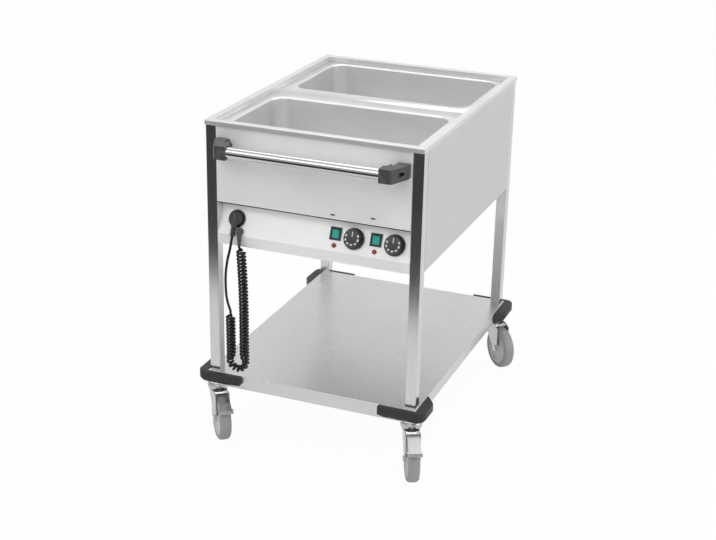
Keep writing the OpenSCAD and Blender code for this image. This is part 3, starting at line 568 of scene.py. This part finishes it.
def makeCabinet(values):
    near, fold = values["near"], values["foldRadius"]
    sideX, frontY = values["postX"][0] - near, values["postY"][0] - near
    edge = (values["sheetEdge"], 2, None)

    def isPostCorner(p):
        inX = min(abs(abs(p.x) - x) for x in values["postX"]) < near
        inY = min(abs(abs(p.y) - y) for y in values["postY"]) < near
        return inX and inY

    def isRimTop(p):
        return p.z > values["rimHeight"] - near

    def isRimOutside(p):   # with the arcs at the rim's corners
        reachX, reachY = values["rimX"] - values["rimArc"], values["rimY"] - values["rimArc"]
        return isRimTop(p) and (abs(p.x) > reachX or abs(p.y) > reachY)

    def isFoot(p):
        return p.z < values["footHeight"] + near

    for name in corners:
        dressNode("post_" + name, "postSteel",
                  [(values["postRadius"], 4, isPostCorner), edge])
    dressNode("top_rim", "rimSteel",
              [(values["rimFold"], 4, isRimOutside), (values["rimInnerFold"], 3, isRimTop), edge])
    seamFold = (fold, 4, lambda p: p.y < -frontY and abs(p.z - slope["seamHeight"]) < 1)
    dressNode("front_panel", "panelSteel", [seamFold, edge])
    # the face meets its lip in a crisp line, and the lip's foot is folded rounder
    crispFold = (values["crispFold"], 2, lambda p: p.y < -frontY and abs(p.z - slope["foldHeight"]) < 1)
    footFold = (fold, 4, lambda p: p.y < -frontY and isFoot(p))
    dressNode("control_panel", "controlSteel", [crispFold, footFold, edge],
              sharpFrom=values["crispAngle"])
    sideFold = (fold, 4, lambda p: abs(p.x) > sideX and isFoot(p))
    for side in ("right", "left"):
        dressNode("side_panel_" + side, "sideSteel", [sideFold, edge])
    rearFold = (fold, 4, lambda p: p.y > frontY and isFoot(p))
    dressNode("rear_panel", "panelSteel", [rearFold, edge])
    dressNode("bottom_panel", "innerSteel", [])


def makeSeam(values):
    # painted shade: a dark strip under the front panel's fold stands in for the shadow in the gap there
    x, depth, height = values["halfLength"], values["depth"], values["height"]
    y, z = slope["frontY"] + values["inset"], slope["seamHeight"]
    bm = rounded(makeBlock(-x, x, y, y + depth, z - height, z + values["overlap"]), values["edge"], 2)
    keepPiece(bm, "seam_shade_strip", "frame", "sealRubber")


def makeSlotShade(values):
    # painted shade: a black block just inside the sheet's face, behind the two slots, stands in for the
    # dark inside the cabinet
    bm = bmesh.new()
    y = slope["frontY"] + values["inset"]
    for x, height in values["places"]:
        z = slope["seamHeight"] + height
        behind = makeBlock(x - values["halfWidth"], x + values["halfWidth"], y, y + values["depth"],
                           z - values["below"], z + values["above"])
        joinInto(bm, rounded(behind, values["edge"], 2))
    keepPiece(bm, "slot_shade_block", "frame", "cordJacket")


makeCabinet(cabinet)
makeSeam(seam)
makeSlotShade(slots)
print("cabinet dressed")


# Wells: a deep pan with a rolled edge and a rounded foot, hung in its flange

well = {
    "halfX": 254,
    "halfY": 154,
    "cornerRadius": 40,
    "rollRadius": 5,
    "footRadius": 22,
    "middleY": 209,
    "deckHeight": 884,
    "floorHeight": 688,
    "flangeX": 279.7,
    "flangeFar": 168.7,
    "flangeNear": 208.85,
    "thickness": 1.4,
    "cornerSteps": 14,
    "profileSteps": 7,
}


def makeWell(side, node, values):
    roll, foot = values["rollRadius"], values["footRadius"]
    deck, floor = values["deckHeight"], values["floorHeight"]
    halfX, halfY = values["halfX"] + roll, values["halfY"] + roll
    radius = values["cornerRadius"] + roll

    def arcCentre(spot):
        x, y = math.copysign(halfX - radius, spot.x), math.copysign(halfY - radius, spot.y)
        return Vector((x, y, spot.z))

    bm = bmesh.new()
    square = [bm.verts.new((x * halfX, y * halfY, deck)) for x, y in ((-1, -1), (1, -1), (1, 1), (-1, 1))]
    bm.faces.new(square)
    bmesh.ops.bevel(bm, geom=square, offset=radius, offset_type="OFFSET", segments=values["cornerSteps"],
                    profile=0.5, affect="VERTICES", clamp_overlap=True, material=-1)
    for face in list(bm.faces):
        bm.faces.remove(face)
    outline = list(bm.edges)
    for vert in bm.verts:   # set each corner on its true arc
        centre = arcCentre(vert.co)
        vert.co = centre + (vert.co - centre).normalized() * radius
    steps = values["profileSteps"]
    quarter = [math.pi / 2 * k / steps for k in range(1, steps + 1)]
    profile = [(roll * math.sin(a), deck - roll * (1 - math.cos(a))) for a in quarter]
    profile += [(roll, deck - roll - (deck - roll - floor - foot) * k / 4) for k in range(1, 5)]
    profile += [(roll + foot * (1 - math.cos(a)), floor + foot * (1 - math.sin(a))) for a in quarter]
    edges = outline
    for inset, z in profile:
        made = bmesh.ops.extrude_edge_only(bm, edges=edges)["geom"]
        edges = [e for e in made if isinstance(e, bmesh.types.BMEdge)]
        for vert in {v for e in edges for v in e.verts}:
            centre = arcCentre(vert.co)
            spot = centre + (vert.co - centre).normalized() * (radius - inset)
            vert.co = (spot.x, spot.y, z)
    bmesh.ops.contextual_create(bm, geom=edges)
    wide, near, far = values["flangeX"], values["flangeNear"], values["flangeFar"]
    low, high = (-near, far) if side > 0 else (-far, near)
    flange = [bm.verts.new((x, y, deck))
              for x, y in ((-wide, low), (wide, low), (wide, high), (-wide, high))]
    flangeEdges = [bm.edges.new((flange[i], flange[(i + 1) % 4])) for i in range(4)]
    bmesh.ops.triangle_fill(bm, use_beauty=True, use_dissolve=False, edges=flangeEdges + outline)
    bmesh.ops.recalc_face_normals(bm, faces=bm.faces)
    bm.normal_update()
    floorFace = min(bm.faces, key=lambda f: f.calc_center_median().z)
    if floorFace.normal.z < 0:
        bmesh.ops.reverse_faces(bm, faces=bm.faces)
    pan = keepPiece(bm, node + "_pan", "frame", "deckSteel", [node],
                    Matrix.Translation((0, side * values["middleY"], 0)), 40)
    wall = pan.modifiers.new("wall", "SOLIDIFY")
    wall.thickness = values["thickness"] * millimetre
    wall.offset = -1


makeWell(-1, "well_front", well)
makeWell(1, "well_rear", well)
print("wells made")


# Lower shelf and bumpers

shelf = {
    "foldRadius": 2.6,
    "bumperEdge": 2.2,
    "sheetEdge": 0.55,
    "foldAbove": 192.5,
    "foldX": 301.5,
    "foldY": 401.5,
}


def makeShelf(values):
    def isFold(p):
        return p.z > values["foldAbove"] and (abs(p.x) > values["foldX"] or abs(p.y) > values["foldY"])

    def isUpright(p):
        return abs(p.x) > values["foldX"] and abs(p.y) > values["foldY"]

    radius = values["foldRadius"]
    dressNode("lower_shelf", "shelfSteel",
              [(radius, 4, isFold), (radius, 4, isUpright), (values["sheetEdge"], 2, None)])
    for name in corners:
        dressNode("bumper_" + name, "bumperPlastic",
                  [(values["bumperEdge"], 3, None)], 40)


makeShelf(shelf)
print("shelf dressed")


# Handle: a polished tube between two moulded brackets

handle = {"halfLength": 206, "radius": 15, "wall": 1.5, "y": -451, "z": 839, "bracketEdge": 2.2,
          "screwEdge": 0.25}


def makeHandle(values):
    half, radius, wall = values["halfLength"], values["radius"], values["wall"]
    bm = spinProfile([(radius - wall, -half), (radius, -half), (radius, half), (radius - wall, half),
                      (radius - wall, -half)], 96, "X")
    keepPiece(bm, "push_tube", "frame", "tubeSteel", ["handle_tube"],
              Matrix.Translation((0, values["y"], values["z"])))
    for side in ("right", "left"):
        dressNode("handle_bracket_" + side, "bracketPlastic",
                  [(values["bracketEdge"], 3, None)], 40)
    dressNode("handle_screws", "screwSteel", [(values["screwEdge"], 2, None)])


makeHandle(handle)
print("handle made")


# Controls: two groups of a switch, a lamp and a thermostat knob

controls = {
    "firstX": 60.3,
    "pitch": 110.5,
    "knobOffset": 51.7,
    "lampS": 15.4,
    "knobS": 40,
    "litHalf": 6.6,
    "frameEdge": 0.7,
    "rockerEdge": 0.6,
}
knob = {
    "skirtRadius": 28,
    "faceRadius": 21.5,
    "reach": 20,
    "flutes": 48,
    "fluteDepth": 0.45,
    "numbers": ("30", "40", "50", "60", "70", "80", "90"),
    "firstAngle": 72,
    "sweep": 222,
    "numberRadius": 16.8,
    "numberSize": 6.4,
    "boldness": 0.24,
    "pointer": (1.9, 4, 17),
}


def makeNumber(text, size, boldness):
    data = bpy.data.curves.new("number", "FONT")
    data.body = text
    data.size = size
    data.align_x = "CENTER"
    data.align_y = "CENTER"
    data.extrude = 0.08
    data.offset = boldness
    data.resolution_u = 3
    helper = bpy.data.objects.new("number", data)
    scene.collection.objects.link(helper)
    bpy.context.view_layer.update()
    mesh = bpy.data.meshes.new_from_object(helper.evaluated_get(bpy.context.evaluated_depsgraph_get()))
    bm = bmesh.new()
    bm.from_mesh(mesh)
    bpy.data.objects.remove(helper)
    bpy.data.meshes.remove(mesh)
    bpy.data.curves.remove(data)
    return bm


def makeKnob(side, x, values):
    skirt, face, reach = values["skirtRadius"], values["faceRadius"], values["reach"]
    profile = [
        (0, -reach), (face - 1, -reach),
        (face - 0.25, -reach + 0.3), (face, -reach + 1), (face + 1.5, -reach + 5), (face + 3.9, -7.6),
        (face + 4.5, -6.6), (skirt - 1, -6), (skirt - 0.3, -5.7), (skirt, -5), (skirt, -1.6),
        (skirt - 0.6, -1), (7, -1), (7, -3), (3.05, -3), (3.05, -14), (0, -14),
    ]
    bm = spinProfile(profile, values["flutes"] * 2, "Y")
    for vert in bm.verts:   # shallow flutes round the grip
        r = math.hypot(vert.co.x, vert.co.z)
        if -reach + 0.8 < vert.co.y < -7 and r > face - 0.5:
            step = round(math.atan2(vert.co.z, vert.co.x) / (math.pi / values["flutes"]))
            if step % 2:
                vert.co.x *= (r - values["fluteDepth"]) / r
                vert.co.z *= (r - values["fluteDepth"]) / r
    for f in bm.faces:   # the grip is black, the face and the skirt are greyer
        y = f.calc_center_median().y
        f.material_index = int(y > -6.8 or (f.normal.y < -0.9 and y < -reach + 0.2))
    body = "knob_" + side
    place = onPanel(x, controls["knobS"])
    keepPiece(bm, "thermostat_knob_" + side, body, ["knobPlastic", "knobFacePlastic"],
              ["knob_" + side], place, 28)
    marks = bmesh.new()
    width, low, high = values["pointer"]
    joinInto(marks, makeBlock(-width / 2, width / 2, -reach - 0.1, -reach + 0.1, low, high))
    count = len(values["numbers"])
    for i, number in enumerate(values["numbers"]):
        angle = math.radians(values["firstAngle"] + values["sweep"] * i / (count - 1))
        turn = Matrix.Rotation(-angle, 4, "Y")
        upright = Matrix.Rotation(math.pi / 2, 4, "X")
        spot = Matrix.Translation((0, -reach - 0.05, values["numberRadius"]))
        joinInto(marks, makeNumber(number, values["numberSize"], values["boldness"]), turn @ spot @ upright)
    keepPiece(marks, "dial_marks_" + side, body, "dialPrint", (), place)


def makeControls(values):
    for i, side in enumerate(("left", "right")):
        x = values["firstX"] + i * values["pitch"]
        makeKnob(side, x + values["knobOffset"], knob)
        dressNode("switch_frame_" + side, "switchPlastic",
                  [(values["frameEdge"], 3, None)])

        # painted shade: the rocker's sides beyond the lit middle strip and every face not turned to the
        # front take a darker, dimmer copy of the lens
        def isShade(face, p, x=x):
            return abs(p.x - x) > values["litHalf"] or face.normal.y > -0.3

        dressNode("rocker_" + side, "rockerLens", [(values["rockerEdge"], 3, None)],
                  other=("rockerPaintedShade", isShade))
        paintNode("thermostat_spindle_" + side, "screwSteel")


lamp = {"radius": 6, "lensRadius": 4.7, "bodyRadius": 5, "rise": 4.0}


def makeLamps(values):
    r, lens, rise, body = values["radius"], values["lensRadius"], values["rise"], values["bodyRadius"]
    bm = bmesh.new()
    for i in (0, 1):
        place = onPanel(controls["firstX"] + i * controls["pitch"], controls["lampS"])
        ring = spinProfile([(lens, -1.6), (lens + 0.2, -2.3), (r - 0.5, -2.3), (r, -1.8), (r, 0), (body, 0),
                            (body, 14), (0, 14)], 48, "Y")
        joinInto(bm, ring, place, 0)
        dome = [(lens * math.sin(a), -1.6 - (rise - 1.6) * math.cos(a))
                for a in (math.pi / 2 * k / 6 for k in range(7))]
        joinInto(bm, spinProfile(dome, 24, "Y"), place, 1)
    keepPiece(bm, "signal_lamps", "frame", ["lampBezel", "lampLens"], ["pilot_lamps"])


makeControls(controls)
makeLamps(lamp)
paintNode("thermostats", "thermostatCase")
paintNode("heating_elements", "heaterSheath")
print("controls made")


# Parking socket, angled plug and the gland's boot

plug = {"x": -218.6, "s": 43.8, "bodyRadius": 18, "headRadius": 16, "headY": -14,
        "spoutLength": 48, "ribs": 6}
gland = {"x": -203.5, "s": 12.5, "footRadius": 9, "reach": 10, "ribs": 7}


def makePlug(values):
    place = onPanel(values["x"], values["s"])
    r, head = values["bodyRadius"], values["headRadius"]
    bm = spinProfile([(0, -16), (head - 4, -16), (head - 1.5, -15.4), (head - 0.2, -14), (head, -12.3),
                      (r - 0.8, -12), (r, -11.2), (r, 13.4), (r - 0.6, 14), (0, 14)], 72, "Y")
    for x in (-9.5, 9.5):
        pin = spinProfile([(0, 24), (1.6, 24), (2.4, 23), (2.4, 13), (0, 13)], 24, "Y")
        joinInto(bm, pin, Matrix.Translation((x, 0, 0)), 1)
    length = values["spoutLength"]
    spout = [(0, 15), (3.5, 14.4), (6, 12.6), (7.6, 9.8), (8, 6), (8, 0), (7.8, -16), (7.7, -25)]
    ribStep = (length - 26) / values["ribs"]
    for i in range(values["ribs"]):
        z = -26 - i * ribStep
        wide = 7.9 - 0.05 * i if i < values["ribs"] - 1 else 8.3
        spout += [(6.0 - 0.2 * i, z), (6.0 - 0.2 * i, z - ribStep * 0.3), (wide, z - ribStep * 0.42),
                  (wide, z - ribStep * 0.88)]
    spout += [(3.6, -length), (0, -length)]
    joinInto(bm, spinProfile(spout, 40, "Z"), Matrix.Translation((0, values["headY"], 0)), 0)
    for side in (-1, 1):   # finger grips beside the spout
        grip = rounded(makeBlock(side * 11.5 - 1.4, side * 11.5 + 1.4, -17.4, -13, -9, 9), 1.2)
        joinInto(bm, grip, Matrix(), 0)
    piece = keepPiece(bm, "angled_plug", "frame", ["plugRubber", "screwSteel"],
                      ["power_plug"], place)
    dressNode("parking_socket", "socketPlastic", [(1.2, 3, None)])
    return piece


def makeGland(values):
    place = onPanel(values["x"], values["s"])
    bm = spinProfile([(0, -values["reach"]), (5, -values["reach"]), (7, -values["reach"] + 2), (7, -4.5),
                      (8.4, -4), (9, -3.2), (9, 0), (7.5, 0), (7.5, 1.5), (10, 1.5), (10, 6.5), (7.5, 6.5),
                      (7.5, 14), (0, 14)], 40, "Y")
    bmesh.ops.transform(bm, matrix=place, verts=bm.verts)
    elbow = place @ Vector((0, -values["reach"], 0))
    start = Vector(cord["curlStart"])
    run = start + Vector((0, 0, 4)) - elbow
    length = run.length
    boot = [(0, -6.8), (3.6, -5.8), (6, -3.4), (6.9, 0)]
    step = (length - 4) / values["ribs"]
    for i in range(values["ribs"]):
        z = 2 + i * step
        wide = 6.9 + (4.6 - 6.9) * (z / length)
        boot += [(wide, z), (wide - 0.1, z + step * 0.6), (wide - 0.9, z + step * 0.68),
                 (wide - 0.9, z + step * 0.9)]
    boot += [(4.6, length - 1.5), (4.4, length), (0, length)]
    turn = run.to_track_quat("Z", "Y").to_matrix().to_4x4()
    joinInto(bm, spinProfile(boot, 36, "Z"), Matrix.Translation(elbow) @ turn)
    collar = spinProfile([(0, 4.5), (4.2, 4.5), (4.6, 3.8), (4.6, 0.4), (4.2, 0), (0, 0)], 36, "Z")
    joinInto(bm, collar, Matrix.Translation(start))
    keepPiece(bm, "gland_boot", "frame", "glandRubber", ["cord_gland"])


angledPlug = makePlug(plug)
makeGland(gland)
print("plug and gland made")


# Casters

caster = {"edge": 0.7, "fine": 0.4, "shadeBandFoot": 160.5, "shadeBandTop": 185}


def makeCasters(values):
    # painted shade: a band of the stem from just under the shelf upwards takes a black finish, for the dark
    # gap between the shelf and the swivel's bowl
    def isShadeBand(face, p):
        return values["shadeBandFoot"] < p.z < values["shadeBandTop"]

    for name in corners:
        dressNode("caster_stem_" + name, "chromePlate", [(values["edge"], 2, None)],
                  other=("sealRubber", isShadeBand))
        dressNode("caster_fork_" + name, "zincPlate", [(values["edge"], 3, None)])
        dressNode("tyre_" + name, "tyreRubber", [])
        dressNode("wheel_hub_" + name, "hubPlastic", [(values["edge"], 3, None)])
        dressNode("axle_" + name, "screwSteel", [(values["fine"], 2, None)])
    for side in ("right", "left"):
        dressNode("brake_pedal_" + side, "pedalPlate", [(values["edge"], 3, None)])


makeCasters(caster)
print("casters dressed")


# Studio: a pale floor, soft boxes, and a darker floor far in front that only reflections see

studio = {
    "floorSize": 60,
    "floorWhite": 1.0,
    "floorShade": 0.8,
    "floorGlow": 0.965,
    "brightUntil": -1.24,
    "darkFrom": -1.58,
    "brightGrey": 0.8,
    "darkGrey": 0.055,
    "worldDiffuse": 0.72,
    "worldBehind": 0.76,
    "worldBefore": 0.5,
}
softBoxes = [
    {"name": "frontSoftBox", "place": (-0.6, -2.7, 2.9), "aim": (0, -0.2, 0.7), "size": (4.2, 1.5),
     "level": 1.35},
    {"name": "topSoftBox", "place": (0.2, 0.7, 3.4), "aim": (0, 0.3, 0.5), "size": (3.4, 3.0),
     "level": 1.2},
    {"name": "rightSoftBox", "place": (3.2, 0.2, 1.8), "aim": (0, 0, 0.6), "size": (2.6, 2.2),
     "level": 1.0},
]


def makeFloor(values):
    bm = bmesh.new()
    bmesh.ops.create_grid(bm, x_segments=1, y_segments=1, size=values["floorSize"] / 2)
    mesh = bpy.data.meshes.new("floor")
    bm.to_mesh(mesh)
    bm.free()
    floor = bpy.data.objects.new("floor", mesh)
    scene.collection.objects.link(floor)
    material = bpy.data.materials.new("paleFloor")
    material.use_nodes = True
    tree = material.node_tree
    add, link = tree.nodes.new, tree.links.new
    tree.nodes.remove(tree.nodes["Principled BSDF"])
    paint = add("ShaderNodeBsdfDiffuse")
    paint.inputs["Color"].default_value = (values["floorShade"],) * 3 + (1,)
    white = add("ShaderNodeEmission")
    white.inputs["Color"].default_value = (values["floorWhite"],) * 3 + (1,)
    seen = add("ShaderNodeMixShader")
    seen.inputs["Fac"].default_value = values["floorGlow"]
    link(paint.outputs[0], seen.inputs[1])
    link(white.outputs[0], seen.inputs[2])
    coords, parts, ramp = add("ShaderNodeTexCoord"), add("ShaderNodeSeparateXYZ"), add("ShaderNodeMapRange")
    link(coords.outputs["Object"], parts.inputs[0])
    link(parts.outputs["Y"], ramp.inputs["Value"])
    ramp.interpolation_type = "SMOOTHSTEP"
    for key, value in (("From Min", values["darkFrom"]), ("From Max", values["brightUntil"]),
                       ("To Min", values["darkGrey"]), ("To Max", values["brightGrey"])):
        ramp.inputs[key].default_value = value
    mirrored = add("ShaderNodeEmission")
    link(ramp.outputs["Result"], mirrored.inputs["Strength"])
    path = add("ShaderNodeLightPath")
    glossy, camera = add("ShaderNodeMixShader"), add("ShaderNodeMixShader")
    link(path.outputs["Is Glossy Ray"], glossy.inputs["Fac"])
    link(paint.outputs[0], glossy.inputs[1])
    link(mirrored.outputs[0], glossy.inputs[2])
    link(path.outputs["Is Camera Ray"], camera.inputs["Fac"])
    link(glossy.outputs[0], camera.inputs[1])
    link(seen.outputs[0], camera.inputs[2])
    link(camera.outputs[0], tree.nodes["Material Output"].inputs["Surface"])
    mesh.materials.append(material)


def makeWorld(values):
    world = bpy.data.worlds.new("studioAir")
    scene.world = world
    world.use_nodes = True
    tree = world.node_tree
    add, link = tree.nodes.new, tree.links.new
    light = tree.nodes["Background"]
    light.inputs["Color"].default_value = (1, 1, 1, 1)
    light.inputs["Strength"].default_value = values["worldDiffuse"]
    mirrored, white = add("ShaderNodeBackground"), add("ShaderNodeBackground")
    coords, parts, ramp = add("ShaderNodeTexCoord"), add("ShaderNodeSeparateXYZ"), add("ShaderNodeMapRange")
    link(coords.outputs["Generated"], parts.inputs[0])   # the room is dimmer before the trolley
    link(parts.outputs["Y"], ramp.inputs["Value"])
    for key, value in (("From Min", -0.5), ("From Max", 0.3), ("To Min", values["worldBefore"]),
                       ("To Max", values["worldBehind"])):
        ramp.inputs[key].default_value = value
    link(ramp.outputs["Result"], mirrored.inputs["Strength"])
    mirrored.inputs["Color"].default_value = (1, 1, 1, 1)
    white.inputs["Color"].default_value = (1, 1, 1, 1)
    path = add("ShaderNodeLightPath")
    glossy, camera = add("ShaderNodeMixShader"), add("ShaderNodeMixShader")
    link(path.outputs["Is Glossy Ray"], glossy.inputs["Fac"])
    link(light.outputs[0], glossy.inputs[1])
    link(mirrored.outputs[0], glossy.inputs[2])
    link(path.outputs["Is Camera Ray"], camera.inputs["Fac"])
    link(glossy.outputs[0], camera.inputs[1])
    link(white.outputs[0], camera.inputs[2])
    link(camera.outputs[0], tree.nodes["World Output"].inputs["Surface"])


def makeLight(values):
    data = bpy.data.lights.new(values["name"], "AREA")
    data.shape = "RECTANGLE"
    data.size, data.size_y = values["size"]
    data.energy = values["level"] * math.pi * data.size * data.size_y   # a level of 1 mirrors as white
    light = bpy.data.objects.new(values["name"], data)
    away = Vector(values["place"]) - Vector(values["aim"])
    turn = away.to_track_quat("Z", "Y").to_matrix().to_4x4()
    light.matrix_world = Matrix.Translation(values["place"]) @ turn
    scene.collection.objects.link(light)


makeFloor(studio)
makeWorld(studio)
for box in softBoxes:
    makeLight(box)
print("studio lit")
